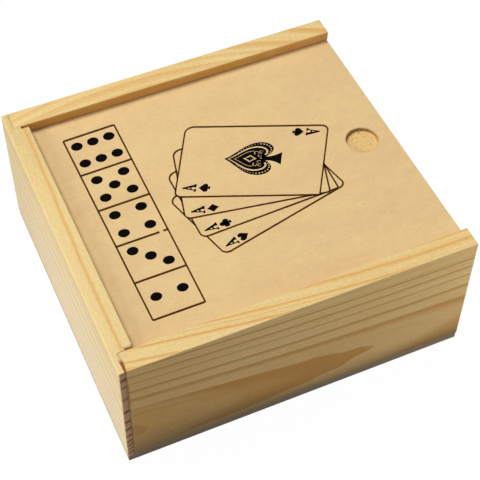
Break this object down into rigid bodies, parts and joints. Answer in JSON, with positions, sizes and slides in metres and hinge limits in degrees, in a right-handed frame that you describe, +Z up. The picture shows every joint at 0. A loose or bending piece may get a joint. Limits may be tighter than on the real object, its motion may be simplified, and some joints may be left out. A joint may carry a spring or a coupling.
{
  "type": "games compendium box",
  "caption": "Pine box with a sliding plywood lid, a thumb recess and printed game figures on top, divided inside into bays for cards, dice and dominoes.",
  "frame": {"origin": "middle of the underside, on the surface that the box stands on", "axes": "+X is the way the lid slides out, -Y is the front board, +Z is up"},
  "size_m": [0.165, 0.1544, 0.071],
  "materials": {
    "pine_board": "bare sanded pine, satin",
    "lid_plywood": "bare sanded birch plywood, matt, with black printed ink on top",
    "base_plywood": "bare plywood, matt",
    "divider_plywood": "bare sanded plywood, matt",
    "brad_steel": "bright steel",
    "playing_card": "smooth coated card, satin",
    "die_resin": "polished ivory-coloured resin with black dimples",
    "domino_wood": "smooth sealed hardwood, satin, with black dimples"
  },
  "bodies": {
    "case": {"back_board": "pine_board", "base_brads": "brad_steel", "base_panel": "base_plywood", "card_deck_lower": "playing_card", "card_deck_upper": "playing_card", "closed_end_board": "pine_board", "die_1": "die_resin", "die_2": "die_resin", "die_3": "die_resin", "die_4": "die_resin", "die_5": "die_resin", "domino_0_0": "domino_wood", "domino_0_1": "domino_wood", "domino_0_2": "domino_wood", "domino_0_3": "domino_wood", "domino_0_4": "domino_wood", "domino_0_5": "domino_wood", "domino_0_6": "domino_wood", "domino_1_1": "domino_wood", "domino_1_2": "domino_wood", "domino_1_3": "domino_wood", "domino_1_4": "domino_wood", "domino_1_5": "domino_wood", "domino_1_6": "domino_wood", "domino_2_2": "domino_wood", "domino_2_3": "domino_wood", "domino_2_4": "domino_wood", "domino_2_5": "domino_wood", "domino_2_6": "domino_wood", "domino_3_3": "domino_wood", "domino_3_4": "domino_wood", "domino_3_5": "domino_wood", "domino_3_6": "domino_wood", "domino_4_4": "domino_wood", "domino_4_5": "domino_wood", "domino_4_6": "domino_wood", "domino_5_5": "domino_wood", "domino_5_6": "domino_wood", "domino_6_6": "domino_wood", "front_board": "pine_board", "long_divider": "divider_plywood", "open_end_board": "pine_board", "short_divider": "divider_plywood"},
    "lid": {"sliding_lid": "lid_plywood"}
  },
  "joints": [
    {"name": "lid_slide", "type": "slide", "parent": "case", "child": "lid", "axis": [1, 0, 0], "range_m": [0, 0.162]}
  ]
}
